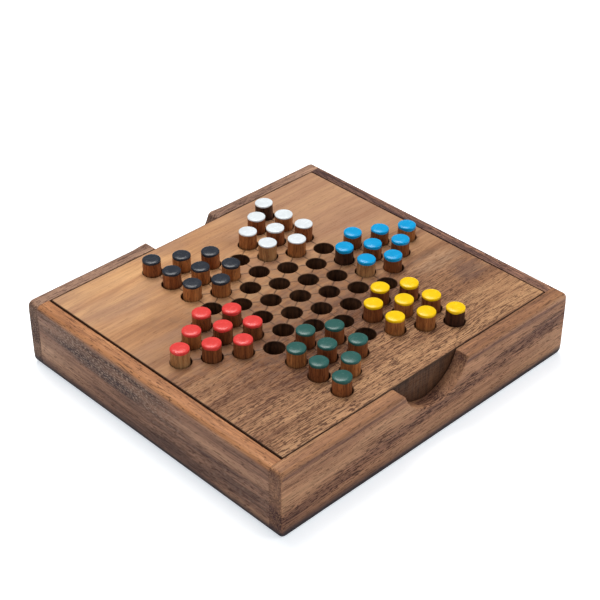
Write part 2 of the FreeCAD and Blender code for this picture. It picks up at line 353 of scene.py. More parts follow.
def timber_figure_group():
    """Solid wood over millimetres, its grain along X: growth rings about the X axis, long streaks,
    fine fibres and open pores. Facing is how squarely the surface cuts the grain, and there the wood
    shows as dark end grain, with the pores as specks."""
    inputs = {
        "Vector": "vector", "Facing": "value", "Pale": "colour", "Mid": "colour", "Deep": "colour",
        "Pore": "colour", "Tone": "value", "Ring Spacing": "value", "Figure": "value",
        "Openness": "value", "Pore Strength": "value", "Contrast Low": "value", "Contrast High": "value",
    }
    tree, given, result = new_group(
        "timber_figure", inputs, {"Color": "colour", "Height": "value", "Roughness": "value"}
    )
    vector = given["Vector"]
    drift = noise(tree, vector, (0.007, 0.05, 0.05), output=1)
    drift = vector_calc(tree, "SUBTRACT", drift, (0.5, 0.5, 0.5))
    wavy = vector_calc(tree, "MULTIPLY_ADD", drift, (0.0, 10.0, 10.0), vector)
    end_grain = ease(tree, given["Facing"], 0.55, 0.85)

    across = length_of(tree, vector_calc(tree, "MULTIPLY", wavy, (0.0, 1.0, 1.0)))
    ring_count = calc(tree, "DIVIDE", across, given["Ring Spacing"])
    ring_shift = times(tree, noise(tree, wavy, (0.006, 0.07, 0.07)), 3.0)
    ring = calc(tree, "FRACT", calc(tree, "ADD", ring_count, ring_shift))
    late_wood = times(tree, calc(tree, "POWER", ring, 1.6), remap(tree, ring, 1.0, 0.8))

    broad = remap(tree, noise(tree, wavy, (0.008, 0.10, 0.10), 3.0, 0.55), 0.30, 0.70)
    narrow = remap(tree, noise(tree, wavy, (0.024, 0.60, 0.60), 3.0, 0.65), 0.28, 0.72)
    streaks = times(tree, calc(tree, "ADD", broad, narrow), 0.5)
    ringed = calc(tree, "MULTIPLY_ADD", late_wood, 0.35, calc(tree, "SUBTRACT", streaks, 0.57))
    tone = calc(tree, "MULTIPLY_ADD", ringed, given["Figure"], given["Tone"])
    tone = calc(tree, "MULTIPLY_ADD", end_grain, 0.28, tone, clamp=True)
    low_half = times(tree, tone, 2.0, clamp=True)
    high_half = calc(tree, "MULTIPLY_ADD", tone, 2.0, -1.0, clamp=True)
    colour = blend(tree, high_half, blend(tree, low_half, given["Pale"], given["Mid"]), given["Deep"])

    fibre = noise(tree, wavy, (0.05, 1.3, 1.3), 4.0, 0.7)
    shade = remap(tree, fibre, 0.3, 0.7, given["Contrast Low"], given["Contrast High"])
    colour = multiplied(tree, colour, shade)

    long_pores = noise(tree, wavy, (0.095, 2.3, 2.3), 2.0, 0.55)
    moved_on = vector_calc(tree, "ADD", wavy, (31.0, 17.0, 5.0))
    short_pores = noise(tree, moved_on, (0.35, 2.1, 2.1), 1.0, 0.5)
    crowd = noise(tree, wavy, (0.02, 0.18, 0.18), 1.0, 0.5)
    limit = summed(tree, 0.755, (given["Openness"], -0.19), (crowd, -0.07), (end_grain, -0.03))
    widest = calc(tree, "MAXIMUM", long_pores, calc(tree, "SUBTRACT", short_pores, 0.02))
    pores = ease(tree, calc(tree, "SUBTRACT", widest, limit), 0.0, 0.05)
    colour = blend(tree, times(tree, pores, given["Pore Strength"]), colour, given["Pore"])

    specks = ease(tree, noise(tree, vector, (0.5, 1.25, 1.25), 2.0, 0.6), 0.52, 0.64)
    speck_share = times(tree, times(tree, specks, end_grain), 0.5)
    colour = blend(tree, speck_share, colour, given["Pale"])
    colour = multiplied(tree, colour, remap(tree, end_grain, 0.0, 1.0, 1.0, 0.84))

    grooves = calc(tree, "MULTIPLY_ADD", pores, -0.8, times(tree, fibre, 0.3))
    sheen = remap(tree, noise(tree, vector, (0.02, 0.2, 0.2)), 0.3, 0.7, 0.46, 0.58)
    give(tree, result, Color=colour, Height=grooves, Roughness=summed(tree, sheen, (pores, 0.2)))
    return tree


def streak_band_group():
    """A soft-edged band of heartwood along X, in a plane of X and one coordinate across it.

    The mask is 1 where the coordinate is within half the width of centre + slope * x, with a wavy,
    frayed edge that is drawn out along the grain.
    """
    inputs = {
        "Vector": "vector", "Across": "value", "Centre": "value", "Slope": "value",
        "Half Width": "value", "Softness": "value", "Fray": "value",
    }
    tree, given, result = new_group("streak_band", inputs, {"Mask": "value"})
    x = add(tree, "SeparateXYZ", {0: given["Vector"]}).outputs[0]
    middle = calc(tree, "MULTIPLY_ADD", x, given["Slope"], given["Centre"])
    wander = swing(tree, given["Vector"], (0.012, 0.10, 0.10), 3.0, 0.6)
    ragged = swing(tree, given["Vector"], (0.05, 0.9, 0.9), 3.0, 0.7)
    moved = calc(tree, "MULTIPLY_ADD", ragged, 0.8, times(tree, wander, 1.6))
    moved = times(tree, moved, given["Fray"])
    off = calc(tree, "SUBTRACT", calc(tree, "ADD", given["Across"], moved), middle)
    off = calc(tree, "ABSOLUTE", off)
    past = calc(tree, "DIVIDE", calc(tree, "SUBTRACT", off, given["Half Width"]), given["Softness"])
    give(tree, result, Mask=ease(tree, past, 0.0, 1.0, 1.0, 0.0))
    return tree


def foot_shade_group():
    """Painted shade along a wall's foot, where its rolled bottom edge turns down to the floor: a dark
    colour blended in below a ragged line. Height and Reach are in millimetres."""
    inputs = {
        "Vector": "vector", "Color": "colour", "Height": "value", "Reach": "value", "Shade Colour": "colour",
    }
    tree, given, result = new_group("foot_shade", inputs, {"Color": "colour"})
    ragged = swing(tree, given["Vector"], (0.10, 0.10, 0.6), 4.0, 0.65)
    level = calc(tree, "MULTIPLY_ADD", ragged, 2.2, given["Height"])
    shadow_share = ease(tree, calc(tree, "DIVIDE", level, given["Reach"]), 1.1, 0.15, 0.0, 0.92)
    give(tree, result, Color=blend(tree, shadow_share, given["Color"], given["Shade Colour"]))
    return tree


def enamel_skin_group():
    """A brushed enamel coat over millimetres: slow hollows and a little dust, for height and tint."""
    tree, given, result = new_group(
        "enamel_skin", {"Vector": "vector", "Color": "colour"},
        {"Color": "colour", "Height": "value", "Roughness": "value"},
    )
    slow = noise(tree, given["Vector"], (0.35, 0.35, 0.35), 2.0, 0.5)
    dust = remap(tree, noise(tree, given["Vector"], (6.0, 6.0, 6.0), 1.0, 0.5), 0.70, 0.78)
    give(
        tree, result, Color=multiplied(tree, given["Color"], remap(tree, slow, 0.3, 0.7, 0.93, 1.04)),
        Height=summed(tree, slow, (dust, 0.15)), Roughness=remap(tree, slow, 0.3, 0.7, 0.20, 0.30),
    )
    return tree


TIMBER = timber_figure_group()
BAND = streak_band_group()
FOOT_SHADE = foot_shade_group()
ENAMEL = enamel_skin_group()

# Colour of the painted shade along the walls' foot and of the painted shadow band at their lowest edge.
FOOT_SHADE_COLOUR = srgb(48, 43, 50)
FILLED_PORE = srgb(172, 144, 124)
# How far up the painted shade reaches, and the heights where the painted shadow band fades in, in
# millimetres.
SHADE_REACH = 6.6
SHADOW_BAND = (3.7, 2.1)
GRAIN_TURNS = {"x": (0.0, 0.0, 0.0), "y": (0.0, 0.0, -math.pi / 2), "z": (0.0, math.pi / 2, 0.0)}


def grain_vector(tree, grain, pith):
    """Object coordinates in millimetres, turned so that the grain runs along X, with the pith moved."""
    place = add(tree, "TexCoord").outputs["Object"]
    mapping = add(tree, "Mapping", {"Vector": place, "Scale": (1 / MM,) * 3})
    mapping.inputs["Rotation"].default_value = GRAIN_TURNS[grain]
    mapping.inputs["Location"].default_value = pith
    return mapping.outputs[0]


def place_xyz(tree):
    """A point in millimetres, and its X, Y and Z."""
    place = add(tree, "TexCoord").outputs["Object"]
    scaled = vector_calc(tree, "MULTIPLY", place, (1 / MM,) * 3)
    return scaled, *add(tree, "SeparateXYZ", {0: scaled}).outputs[:3]


def facing(tree, axis):
    """How squarely the surface faces along an axis, from 0 to 1."""
    normal = add(tree, "TexCoord").outputs["Normal"]
    return calc(tree, "ABSOLUTE", add(tree, "SeparateXYZ", {0: normal}).outputs["xyz".index(axis)])


def timber(tree, grain, pith, pale, mid, deep, pore, **changed):
    """Timber placed in a material: its grain's axis, its pith and its four colours. changed holds the
    group's other values, by name, where they differ from those of plain wood."""
    values = {
        "Vector": grain_vector(tree, grain, pith), "Facing": facing(tree, grain),
        "Pale": pale, "Mid": mid, "Deep": deep, "Pore": pore, "Tone": 0.45, "Ring Spacing": 8.0,
        "Figure": 0.85, "Openness": 0.6, "Pore Strength": 0.55, "Contrast Low": 0.74,
        "Contrast High": 1.26,
    }
    values.update({word.replace("_", " ").title(): value for word, value in changed.items()})
    return use_group(tree, TIMBER, values)


def shaded_foot(tree, plain, z, colour):
    """A wall's colour with painted shade along its foot, and a nearly black painted shadow band round
    its lowest edge.
    """
    foot_shaded = use_group(tree, FOOT_SHADE, {
        "Vector": plain, "Color": colour, "Height": z, "Reach": SHADE_REACH, "Shade Colour": FOOT_SHADE_COLOUR,
    })["Color"]
    return blend(tree, ease(tree, z, *SHADOW_BAND, 0.0, 0.9), foot_shaded, FOOT_SHADE_COLOUR)


def new_material(name):
    """A material with its node tree and its Principled shader."""
    material = bpy.data.materials.new(name)
    material.use_nodes = True
    shader = next(n for n in material.node_tree.nodes if n.type == "BSDF_PRINCIPLED")
    return material, material.node_tree, shader


def finish(tree, shader, colour, skin, bump=0.35, depth=0.00015, specular=0.22):
    """Sends a colour, and a skin's height and roughness, to the shader. The defaults suit oiled wood."""
    relief = add(tree, "Bump", {"Strength": bump, "Distance": depth, "Height": skin["Height"]})
    link_or_set(tree, shader.inputs["Base Color"], colour)
    link_or_set(tree, shader.inputs["Roughness"], skin["Roughness"])
    link_or_set(tree, shader.inputs["Normal"], relief.outputs[0])
    shader.inputs["Specular IOR Level"].default_value = specular


def band(tree, vector, across, centre, half_width, share=None, slope=0.0, softness=3.0, fray=6.0):
    """The mask of one streak band, times a share where one is given."""
    mask = use_group(tree, BAND, {
        "Vector": vector, "Across": across, "Centre": centre, "Slope": slope,
        "Half Width": half_width, "Softness": softness, "Fray": fray,
    })["Mask"]
    return mask if share is None else times(tree, mask, share)


def graded(tree, share, first, second):
    """Colours between two sets of them, each given as the 0 to 255 of a chart."""
    return [blend(tree, share, srgb(*one), srgb(*other)) for one, other in zip(first, second)]


def patch(tree, plain, centre, radii, fray):
    """The mask of one rounded patch of figure: full in its middle, gone at its radii, with an edge that
    the noise fray breaks up."""
    stretch = (1.0 / radii[0], 1.0 / radii[1], 0.0)
    offset = (-centre[0] / radii[0], -centre[1] / radii[1], 0.0)
    reached = vector_calc(tree, "MULTIPLY_ADD", plain, stretch, offset)
    distance = length_of(tree, reached)
    return ease(tree, calc(tree, "MULTIPLY_ADD", fray, 1.6, distance), 1.0, 0.3)


# ---------- the woods

def board_wood():
    """The playing board: pale fine wood at the back, browner and open-pored to the front, with purple
    streaks, a curly and a smoky patch at the right, and a stain of handling and soot round its middle.
    The holes and the scored lines are burnt dark, and the slab's sawn sides and the rim of its top
    carry painted shade; the mesh's mask burn_and_shade holds the burns and the sides' shade."""
    material, tree, shader = new_material("board_wood")
    plain, x, y, z = place_xyz(tree)
    wander = swing(tree, plain, (0.016, 0.045, 0.0), 3.0, 0.6)
    ragged = swing(tree, plain, (0.05, 0.35, 0.0), 3.0, 0.6)
    line = calc(tree, "MULTIPLY_ADD", wander, 55.0, calc(tree, "MULTIPLY_ADD", ragged, 14.0, y))
    front = ease(tree, line, 28.0, -12.0)
    coarse = ease(tree, line, 2.0, -34.0)
    open_grain = times(tree, coarse, remap(tree, x, 38.0, 78.0, 1.0, 0.62))
    rosy = ease(tree, noise(tree, plain, (0.018, 0.05, 0.0), 2.0, 0.5), 0.42, 0.66)
    purple = band(
        tree, plain, y, -40.0, 5.0, remap(tree, noise(tree, plain, (0.02, 0.03, 0.0)), 0.4, 0.6),
        slope=0.03, softness=9.0, fray=30.0,
    )
    knot_shade = band(
        tree, plain, y, -14.0, 5.0, ease(tree, x, 48.0, 72.0),
        slope=-0.10, softness=9.0, fray=22.0,
    )
    edge_strip = ease(tree, calc(tree, "MULTIPLY_ADD", wander, 14.0, y), -58.0, -70.0)
    cloud = ease(tree, noise(tree, plain, (0.014, 0.026, 0.0), 2.0, 0.5), 0.36, 0.64)
    back_right = ease(tree, calc(tree, "MULTIPLY_ADD", y, 0.25, x), 10.0, 58.0)
    rosy = calc(tree, "MAXIMUM", rosy, back_right)
    light = graded(
        tree, cloud, ((242, 192, 136), (206, 153, 106)), ((200, 146, 98), (174, 125, 86))
    )
    rosy_share = times(tree, rosy, 0.85)
    light_pale = blend(tree, rosy_share, light[0], srgb(186, 143, 107))
    light_mid = blend(tree, rosy_share, light[1], srgb(168, 126, 98))
    pale = blend(tree, front, light_pale, srgb(193, 147, 105))
    mid = blend(tree, front, light_mid, srgb(151, 107, 75))
    deep = blend(tree, front, srgb(150, 102, 72), srgb(92, 60, 46))
    stain = calc(tree, "MAXIMUM", times(tree, purple, 0.5), knot_shade)
    tone = summed(tree, 0.38, (stain, 0.20), (edge_strip, -0.12))
    wood = timber(
        tree, "x", (0.0, 60.0, -20.0), pale, mid, deep, srgb(78, 47, 35), tone=tone,
        ring_spacing=11.0, figure=remap(tree, front, 0.0, 1.0, 0.75, 0.9),
        openness=remap(tree, open_grain, 0.0, 1.0, 0.42, 0.95),
        pore_strength=remap(tree, open_grain, 0.0, 1.0, 0.25, 0.86),
        contrast_low=remap(tree, coarse, 0.0, 1.0, 0.88, 0.72),
        contrast_high=remap(tree, coarse, 0.0, 1.0, 1.12, 1.30),
    )
    # The mesh's mask holds the burns in the holes and scored lines, and painted shade on the slab's
    # sides.
    burn_and_shade = add(tree, "Attribute", attribute_name="burn_and_shade", attribute_type="GEOMETRY").outputs["Fac"]
    soot = noise(tree, plain, (0.6, 0.6, 0.10), 3.0, 0.65)
    shaded = remap(tree, soot, 0.32, 0.68)
    scorch = blend(tree, shaded, srgb(34, 20, 13), srgb(80, 52, 36))
    drilled = blend(tree, shaded, srgb(54, 33, 22), srgb(108, 72, 48))
    char = blend(tree, remap(tree, z, 33.2, 31.5), scorch, drilled)
    uneven = remap(tree, noise(tree, plain, (0.25, 0.25, 0.0), 2.0, 0.6), 0.25, 0.6, 0.6, 1.0)
    deeper = calc(tree, "MAXIMUM", uneven, remap(tree, z, 33.7, 33.4))
    share = times(tree, burn_and_shade, deeper, clamp=True)
    from_centre = vector_calc(tree, "MULTIPLY_ADD", plain, (0.72, 1.1, 0.0), (10.0, 5.0, 0.0))
    distance = length_of(tree, from_centre)
    handled = ease(tree, calc(tree, "MULTIPLY_ADD", wander, 50.0, distance), 60.0, 24.0)
    mottle = ease(tree, noise(tree, plain, (0.24, 0.30, 0.0), 3.0, 0.6), 0.42, 0.58)
    darkening = blend(tree, mottle, srgb(80, 52, 46), srgb(122, 76, 46))
    curl = noise(tree, plain, (0.16, 0.95, 0.0), 2.0, 0.6)
    curl = ease(tree, curl, 0.36, 0.60, 0.25, 1.0)
    curly = times(tree, patch(tree, plain, (69.0, -24.0), (24.0, 11.0), wander), curl)
    smoky = patch(tree, plain, (72.0, -39.0), (14.0, 9.0), ragged)
    top = blend(tree, times(tree, curly, 0.38), wood["Color"], srgb(214, 174, 138))
    top = blend(tree, times(tree, smoky, 0.50), top, srgb(84, 62, 62))
    top = blend(tree, times(tree, handled, 0.48), top, darkening)
    # Painted shade along the rim of the top: a dark line round the board's edge.
    middle, half = (BOARD_LOW + BOARD_HIGH) / 2, (BOARD_HIGH - BOARD_LOW) / 2
    insets = []
    for place, centre, reach in zip((x, y), middle, half):
        off_centre = calc(tree, "ABSOLUTE", calc(tree, "SUBTRACT", place, centre))
        insets.append(calc(tree, "SUBTRACT", reach, off_centre))
    rim_shade = remap(tree, calc(tree, "MINIMUM", *insets), 0.6, 0.25, 0.0, 0.85)
    top = blend(tree, rim_shade, top, srgb(52, 33, 24))
    finish(tree, shader, blend(tree, share, top, char), wood)
    return material


def wall_wood(name, grain, pith, tone, colours, top_colours=None, top=(31.4, 33.4), **changed):
    """A wall's wood, with painted shade at its foot.

    tone is a function of the tree, the point in millimetres and its x, y and z. It gives the wood's
    tone, a mask of where its pores are filled and pale, and one of where they run thickly. The pale,
    mid and deep colours change to top_colours between the two heights of top.
    """
    material, tree, shader = new_material(name)
    place = place_xyz(tree)
    shade, filled, thick = tone(tree, *place)
    wood = timber(
        tree, grain, pith, *graded(tree, ease(tree, place[3], *top), colours, top_colours or colours),
        srgb(62, 38, 34), tone=shade, openness=calc(tree, "MULTIPLY_ADD", thick, 0.35, 0.62),
        pore_strength=calc(tree, "MULTIPLY_ADD", thick, 0.25, 0.6), **changed,
    )
    dots = ease(tree, noise(tree, place[0], (1.5, 0.55, 1.5), 2.0, 0.7), 0.51, 0.60)
    colour = blend(tree, times(tree, dots, filled), wood["Color"], FILLED_PORE)
    # Painted shade and a painted shadow band along the foot.
    colour = shaded_foot(tree, place[0], place[3], colour)
    finish(tree, shader, colour, wood)
    return material


def front_wood():
    """The front wall: mid brown, orange along the top, with a purple-brown streak that climbs to the
    right, and a fine red line near the top."""
    def tone(tree, plain, x, y, z):
        to_left, to_right = ease(tree, x, 30.0, -20.0), ease(tree, x, 8.0, 30.0)
        long_sides = remap(tree, facing(tree, "x"), 0.5, 0.2)
        purple = band(tree, plain, z, 16.0, 2.6, slope=0.060, softness=3.5, fray=9.0)
        low_purple = band(tree, plain, z, 7.5, 1.2, to_left, slope=0.03, softness=2.5, fray=7.0)
        red_line = band(tree, plain, z, 30.8, 0.25, long_sides, slope=-0.004, softness=1.3, fray=1.6)
        pale_strip = band(tree, plain, z, 24.0, 2.2, ease(tree, x, 0.0, -30.0))
        top_right = times(tree, remap(tree, z, 32.6, 33.7), to_right)
        shade = summed(
            tree, 0.40, (purple, 0.24), (low_purple, 0.10), (red_line, 0.35), (top_right, 0.12),
            (pale_strip, -0.12),
        )
        return shade, 0.0, purple

    return wall_wood(
        "front_wood", "x", (0.0, 118.0, 25.0), tone,
        ((196, 150, 112), (162, 116, 86), (92, 58, 52)),
        ((196, 146, 104), (162, 114, 80), (100, 64, 50)), (32.2, 33.7),
        figure=0.65, contrast_low=0.66, contrast_high=1.34,
    )


def back_wood():
    """The back wall: an even mid brown with one darker streak."""
    def tone(tree, plain, x, y, z):
        streak = band(tree, plain, z, 16.0, 3.0, slope=-0.04, softness=5.0, fray=10.0)
        return summed(tree, 0.46, (streak, 0.26)), 0.0, 0.5

    return wall_wood(
        "back_wood", "x", (0.0, -130.0, 12.0), tone, ((196, 156, 128), (158, 122, 100), (92, 64, 56))
    )


def left_wood():
    """The left wall: orange brown along the top, a dark band with pale open pores that runs down to the
    front, and a pale wedge low at the back."""
    def tone(tree, plain, x, y, z):
        along = add(tree, "CombineXYZ", {0: y, 1: x, 2: z}).outputs[0]
        sides = times(tree, ease(tree, y, -34.0, 2.0), ease(tree, y, 74.0, 48.0, 0.35, 1.0))
        speckled = band(tree, along, z, 25.0, 4.0, sides, slope=0.045, softness=4.0, fray=8.0)
        low_dark = band(
            tree, along, z, 11.0, 4.6, ease(tree, y, 45.0, -15.0, 0.2, 1.0),
            slope=-0.03, softness=5.0, fray=9.0,
        )
        wedge = band(
            tree, along, z, 9.0, 2.6, ease(tree, y, 20.0, 58.0),
            slope=0.03, softness=3.0, fray=4.0,
        )
        upper = ease(tree, z, 31.4, 33.4)
        shade = summed(
            tree, 0.44, (low_dark, 0.24), (speckled, 0.42), (wedge, -0.26), (upper, -0.10)
        )
        filled = times(tree, speckled, remap(tree, upper, 0.0, 1.0, 0.8, 0.0))
        filled = summed(tree, filled, (low_dark, 0.22))
        return shade, filled, times(tree, low_dark, 0.6)

    return wall_wood(
        "left_wood", "y", (0.0, -150.0, 8.0), tone,
        ((196, 152, 120), (150, 110, 88), (64, 46, 46)),
        ((212, 154, 108), (182, 124, 82), (116, 72, 50)),
        contrast_low=0.8, contrast_high=1.2,
    )


def right_wood():
    """The right wall: dark red-brown at the back, lighter to the front."""
    def tone(tree, plain, x, y, z):
        return ease(tree, y, -50.0, 60.0, 0.40, 0.60), 0.0, 1.0

    return wall_wood(
        "right_wood", "y", (0.0, 160.0, -6.0), tone, ((208, 156, 124), (150, 108, 88), (68, 46, 46)),
        figure=1.5, contrast_low=0.6, contrast_high=1.4,
    )


def inner_wood(name, grain, pith, colours):
    """Plain sanded wood for the parts inside and under the tray, of pale, mid and deep colours."""
    material, tree, shader = new_material(name)
    wood = timber(tree, grain, pith, *(srgb(*colour) for colour in colours), srgb(84, 56, 42))
    finish(tree, shader, wood["Color"], wood)
    return material


DOWEL_TONES = {
    "pale": ((214, 168, 120), (190, 142, 94), (140, 94, 58)),
    "honey": ((206, 142, 88), (176, 114, 64), (118, 68, 36)),
    "brown": ((180, 112, 66), (146, 86, 48), (92, 50, 28)),
    "dark": ((96, 60, 42), (66, 39, 27), (36, 20, 14)),
}


def dowel_wood(tone, colours):
    """One tone of dowel, its grain upright."""
    material, tree, shader = new_material("dowel_" + tone)
    pale, mid, deep = (srgb(*colour) for colour in colours)
    wood = timber(
        tree, "z", (0.0, 40.0, 9.0), pale, mid, deep, deep, tone=0.5, ring_spacing=2.4, figure=0.9,
        openness=0.75, pore_strength=0.65,
    )
    finish(tree, shader, wood["Color"], wood, depth=0.0001)
    return material


ENAMEL_COLOURS = {
    "blue": (0, 158, 218), "white": (226, 232, 236), "black": (42, 46, 55),
    "red": (228, 66, 62), "green": (44, 92, 86), "yellow": (252, 204, 0),
}


def enamel(colour, chart):
    """Glossy enamel of one colour."""
    material, tree, shader = new_material("enamel_" + colour)
    skin = use_group(tree, ENAMEL, {"Vector": place_xyz(tree)[0], "Color": srgb(*chart)})
    finish(tree, shader, skin["Color"], skin, bump=0.5, depth=0.00012, specular=0.3)
    return material


# ---------- the tray

def notched_outline():
    """The elevation of a notched wall: a rounded rectangle whose top dips into one hollow arc. Each end
    of the arc is rolled into the top edge by a small arc that is tangent to both, generous on the left
    and crisp on the right."""
    centre = np.array([NOTCH_OFFSET, TRAY_TOP - NOTCH_DEPTH + NOTCH_RADIUS])
    left, right = CORNER_ROUND - BOX_HALF_LENGTH, BOX_HALF_LENGTH - CORNER_ROUND
    foot, head = CORNER_ROUND, TRAY_TOP - CORNER_ROUND
    leans, rolls = [], []
    for side, roll in ((1, NOTCH_CRISP), (-1, NOTCH_ROLL)):
        drop = centre[1] - (TRAY_TOP - roll)
        reach = math.sqrt((NOTCH_RADIUS + roll) ** 2 - drop**2)
        leans.append(math.degrees(math.atan2(drop, reach)))
        rolls.append(np.array([NOTCH_OFFSET + side * reach, TRAY_TOP - roll]))
    return joined([
        corner_arc(np.array([left, foot]), CORNER_ROUND, 180, 270, 6),
        corner_arc(np.array([right, foot]), CORNER_ROUND, 270, 360, 6),
        corner_arc(np.array([right, head]), CORNER_ROUND, 0, 90, 6),
        corner_arc(rolls[0], NOTCH_CRISP, 90, 180 - leans[0], 5),
        corner_arc(centre, NOTCH_RADIUS, -leans[0], leans[1] - 180, 48, hollow=True),
        corner_arc(rolls[1], NOTCH_ROLL, leans[1], 90, 8),
        corner_arc(np.array([left, head]), CORNER_ROUND, 90, 180, 6),
    ])


def roll_softness(outline):
    """How large the rolled edge is at each point of a notched wall's outline, as a share of OUTER_ROUND:
    nearly full along the top and bottom, small up the two ends and round the notch, with smooth ramps."""
    x, z = outline.T
    past_notch = np.clip((np.abs(x - NOTCH_OFFSET) - NOTCH_RADIUS) / 9.0, 0, 1)
    ramp = past_notch**2 * (3 - 2 * past_notch)
    in_notch = 0.36 + 0.30 * np.clip((TRAY_TOP - 6 - z) / 8.0, 0, 1)
    upper = np.where(z > TRAY_TOP - NOTCH_DEPTH - 1, in_notch + (0.86 - in_notch) * ramp, 0.86)
    near_end = np.clip((BOX_HALF_LENGTH - np.abs(x)) / 3.0, 0, 1)
    to_corner = np.clip(1 - np.minimum(z, TRAY_TOP - z) / 6.0, 0, 1)
    end = 0.42 + 0.5 * to_corner**2
    return end + (upper - end) * near_end


def notched_wall(name, material, turned):
    """A full-length wall: its notched elevation carried through its thickness, its outer edge rolled by
    hand, so that the roll's depth rises and falls a little along the edge."""
    outline = notched_outline()
    stations = rounded_ends(-FRONT_HIGH[1], -FRONT_LOW[1], EASED, OUTER_ROUND, 7)
    softness = roll_softness(outline[0]) * gentle_wave(len(outline[0]), 0.07)
    return bar(name, outline, stations, [material], upright=True, turned=turned, softness=softness)


def end_wall(name, node, material, side):
    """A captured wall: its section, rolled on the outer top and bottom edges, carried along Y."""
    low, high = node_box(node)
    outer, inner = CORNER_ROUND, EASED
    radii = (outer, inner, inner, outer) if side < 0 else (inner, outer, outer, inner)
    outline = rounded_rectangle(low[[0, 2]], high[[0, 2]], radii)
    stations = rounded_ends(-high[1], -low[1], EASED, EASED, 3)
    return bar(name, outline, stations, [material], upright=True)


def flat_bar(name, node, material, eased=EASED):
    """A plain strip or panel with eased edges, as large as its node."""
    low, high = node_box(node)
    outline = rounded_rectangle(low[:2], high[:2], (eased * 1.5,) * 4, 3)
    return bar(name, outline, rounded_ends(low[2], high[2], eased, eased, 3), [material])


# ---------- the playing board

def star_centres():
    """Centres of the seventy-three holes, row by row from the -X tip."""
    rows = []
    for index, count in enumerate(STAR_ROWS):
        x = (index - len(STAR_ROWS) // 2) * PITCH * math.cos(math.radians(30))
        y = (np.arange(count) - (count - 1) / 2) * PITCH
        rows.append(np.stack([np.full(count, x), y], -1))
    return np.concatenate(rows) + STAR_CENTRE


def star_cells():
    """The star's surface as one hexagonal cell round each hole: rings of points and their burnt mask.

    A cell has six sectors, one towards each neighbour, each with the same columns. Its rings climb the
    hole's wall, roll over the mouth and spread to the hexagon. On a ring of radius r a column lies at
    its own angle; the columns of a scored line lie at asin(w / r), which keeps the line's sides
    parallel. The line's middle column is LINE_DEPTH lower wherever the neighbour exists.
    """
    centres = star_centres()
    towards = np.radians(30 + 60 * np.arange(6))
    ways = np.stack([np.cos(towards), np.sin(towards)], -1)
    reached = centres[:, None] + PITCH * ways
    gaps = np.linalg.norm(reached[:, :, None] - centres[None, None], axis=-1)
    scored = (gaps.min(-1) < 0.1).astype(float)

    angle = np.radians([-30, -22, -14.5, -7.5, 0, 0, 0, 7.5, 14.5, 22])
    width = np.array([0, 0, 0, 0, -LINE_HALF_WIDTH, 0, LINE_HALF_WIDTH, 0, 0, 0])
    in_line = np.array([0, 0, 0, 0, 1, 1, 1, 0, 0, 0], bool)
    hex_half = PITCH / (2 * math.sqrt(3))
    spread = np.where(in_line, width, hex_half * angle / math.radians(30))

    floor, top = HOLE_FLOOR, BOARD_HIGH[2]
    radii = HOLE_RADIUS + np.array([-0.5, -0.12, 0, 0, 0, 0.05, 0.2, 0.45])
    heights = np.array([
        floor, floor + 0.12, floor + 0.5, (floor + top) / 2, top - 0.4, top - 0.12, top, top,
    ])
    burn_and_shade = np.array([1, 1, 1, 1, 1, 0.75, 0.22, 0.0, 0.0])

    on_ring = np.where(in_line, np.arcsin(width / radii[:, None]), angle)
    turn = towards[None, :, None] + on_ring[:, None, :]
    rings = radii[:, None, None, None] * np.stack([np.cos(turn), np.sin(turn)], -1)
    left = np.stack([-np.sin(towards), np.cos(towards)], -1)
    hexagon = ways[:, None] * PITCH / 2 + left[:, None] * spread[None, :, None]
    rings = np.concatenate([rings, hexagon[None]])
    heights = np.append(heights, top)

    is_middle = in_line & (width == 0)
    is_top = heights > top - 0.2
    cut = is_top[None, :, None, None] * scored[:, None, :, None]
    sink = cut * is_middle * LINE_DEPTH
    flat = centres[:, None, None, None] + rings[None]
    z = np.broadcast_to(heights[None, :, None, None], sink.shape) - sink
    points = np.concatenate([flat, z[..., None]], -1)
    line_burn = cut * np.where(is_middle, 1.0, np.where(in_line, 0.22, 0.0))
    mask = np.maximum(np.broadcast_to(burn_and_shade[None, :, None, None], sink.shape), line_burn)
    cells, ring_count = points.shape[:2]
    return points.reshape(cells, ring_count, -1, 3), mask.reshape(cells, ring_count, -1)


